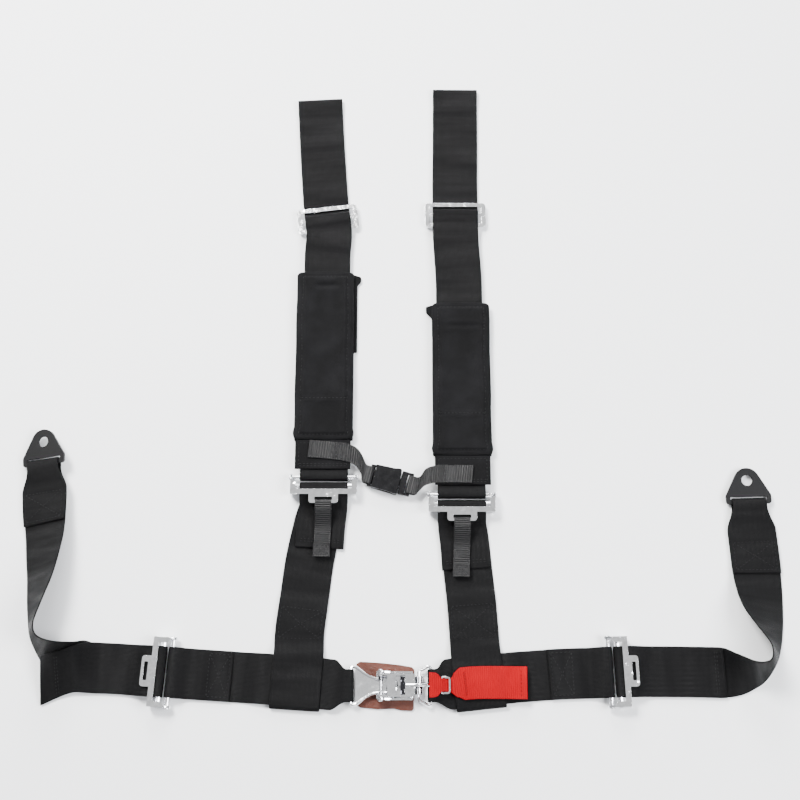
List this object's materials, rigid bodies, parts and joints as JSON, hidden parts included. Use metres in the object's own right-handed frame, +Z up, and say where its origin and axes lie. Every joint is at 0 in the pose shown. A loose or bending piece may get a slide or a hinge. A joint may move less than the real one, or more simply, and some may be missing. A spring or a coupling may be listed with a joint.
{
  "type": "racing harness",
  "caption": "Flat-laid racing harness: lap and shoulder webbing with tilt-lock adjusters, slides, padded shoulders, a sternum strap, bolt-in anchor plates and a lever latch.",
  "frame": {"origin": "middle of the laid-out harness, on the surface it lies on", "axes": "+X along the lap belt towards the latch's release pull, +Y up the shoulder straps, +Z up"},
  "size_m": [0.7976, 0.7031, 0.0496],
  "materials": {
    "webbing": "woven two-inch webbing, low sheen",
    "ribbed_tape": "narrow ribbed tape",
    "pad_fabric": "plain woven cloth",
    "pad_foam": "soft foam",
    "chrome": "bright plated stampings",
    "bright_zinc": "bright zinc plated",
    "black_steel": "satin black coated",
    "spring_steel": "plain spring steel",
    "black_plastic": "fine moulded grain",
    "red_webbing": "ribbed, folded and sewn",
    "leather": "soft, lightly creased"
  },
  "bodies": {
    "webbing_and_fixed_fittings": {"belt_ring": "bright_zinc", "lap_left_inner_strap": "webbing", "lap_left_knurled_bar": "bright_zinc", "lap_left_outer_strap": "webbing", "lap_right_inner_strap": "webbing", "lap_right_knurled_bar": "bright_zinc", "lap_right_outer_strap": "webbing", "latch_base": "chrome", "latch_catch": "spring_steel", "latch_pivot_pin": "bright_zinc", "latch_rivet_lower": "bright_zinc", "latch_rivet_upper": "bright_zinc", "latch_spring": "spring_steel", "leather_backing_pad": "leather", "link_plate": "bright_zinc", "shoulder_left_knurled_bar": "bright_zinc", "shoulder_left_lower_strap": "webbing", "shoulder_left_slide": "bright_zinc", "shoulder_left_upper_strap": "webbing", "shoulder_right_knurled_bar": "bright_zinc", "shoulder_right_lower_strap": "webbing", "shoulder_right_slide": "bright_zinc", "shoulder_right_upper_strap": "webbing"},
    "shoulder_left_adjuster": {"shoulder_left_adjuster_frame": "chrome", "shoulder_left_adjuster_pin": "bright_zinc", "shoulder_left_pull_tape": "ribbed_tape"},
    "lap_left_adjuster": {"lap_left_adjuster_frame": "chrome", "lap_left_adjuster_pin": "bright_zinc"},
    "left_anchor": {"left_anchor_plate": "black_steel"},
    "left_pad": {"pad_left_back_panel": "pad_fabric", "pad_left_cover": "pad_fabric", "pad_left_flap": "pad_fabric", "pad_left_foam_core": "pad_foam", "sternum_left_tape": "ribbed_tape", "sternum_buckle_housing": "black_plastic"},
    "shoulder_right_adjuster": {"shoulder_right_adjuster_frame": "chrome", "shoulder_right_adjuster_pin": "bright_zinc", "shoulder_right_pull_tape": "ribbed_tape"},
    "lap_right_adjuster": {"lap_right_adjuster_frame": "chrome", "lap_right_adjuster_pin": "bright_zinc"},
    "right_anchor": {"right_anchor_plate": "black_steel"},
    "right_pad": {"pad_right_back_panel": "pad_fabric", "pad_right_cover": "pad_fabric", "pad_right_flap": "pad_fabric", "pad_right_foam_core": "pad_foam", "sternum_right_tape": "ribbed_tape", "sternum_buckle_plug": "black_plastic"},
    "upper_prong": {"sternum_buckle_upper_prong": "black_plastic"},
    "lower_prong": {"sternum_buckle_lower_prong": "black_plastic"},
    "lever": {"latch_lever": "chrome", "latch_release_pull": "red_webbing"}
  },
  "joints": [
    {"name": "shoulder_left_adjuster_tilt", "type": "hinge", "parent": "webbing_and_fixed_fittings", "child": "shoulder_left_adjuster", "pos_m": [-0.0783, -0.109, 0.00715], "axis": [-1, 0, 0], "range_deg": [0, 20]},
    {"name": "shoulder_right_adjuster_tilt", "type": "hinge", "parent": "webbing_and_fixed_fittings", "child": "shoulder_right_adjuster", "pos_m": [0.0672, -0.128, 0.00715], "axis": [-1, 0, 0], "range_deg": [0, 20]},
    {"name": "lap_left_adjuster_tilt", "type": "hinge", "parent": "webbing_and_fixed_fittings", "child": "lap_left_adjuster", "pos_m": [-0.23122, -0.31183, 0.00715], "axis": [0.0659, 0.9978, 0], "range_deg": [0, 20]},
    {"name": "lap_right_adjuster_tilt", "type": "hinge", "parent": "webbing_and_fixed_fittings", "child": "lap_right_adjuster", "pos_m": [0.2151, -0.31119, 0.00715], "axis": [0.03, -0.9996, 0], "range_deg": [0, 20]},
    {"name": "left_anchor_swivel", "type": "hinge", "parent": "webbing_and_fixed_fittings", "child": "left_anchor", "pos_m": [-0.3748, -0.0938, 0.01005], "axis": [-0.9625, -0.0808, -0.2588], "range_deg": [-75, 30]},
    {"name": "right_anchor_swivel", "type": "hinge", "parent": "webbing_and_fixed_fittings", "child": "right_anchor", "pos_m": [0.37, -0.1347, 0.00465], "axis": [-0.9996, -0.0279, 0], "range_deg": [-75, 30]},
    {"name": "left_pad_slide", "type": "slide", "parent": "webbing_and_fixed_fittings", "child": "left_pad", "axis": [0, 1, 0], "range_m": [0, 0.015]},
    {"name": "right_pad_slide", "type": "slide", "parent": "webbing_and_fixed_fittings", "child": "right_pad", "axis": [0, 1, 0], "range_m": [0, 0.015]},
    {"name": "upper_prong_squeeze", "type": "hinge", "parent": "right_pad", "child": "upper_prong", "pos_m": [0.00369, -0.10734, 0.00745], "axis": [0, 0, 1], "range_deg": [0, 8], "stiffness_Nm_per_rad": 0.2},
    {"name": "lower_prong_squeeze", "type": "hinge", "parent": "right_pad", "child": "lower_prong", "pos_m": [0.00011, -0.1217, 0.00745], "axis": [0, 0, -1], "range_deg": [0, 8], "stiffness_Nm_per_rad": 0.2},
    {"name": "lever_release", "type": "hinge", "parent": "webbing_and_fixed_fittings", "child": "lever", "pos_m": [-0.0173, -0.3246, 0.01305], "axis": [0, -1, 0], "range_deg": [0, 100], "stiffness_Nm_per_rad": 0.02}
  ],
  "couplings": [
    {"joint": "right_pad_slide", "follows": "left_pad_slide", "ratio": 1}
  ]
}
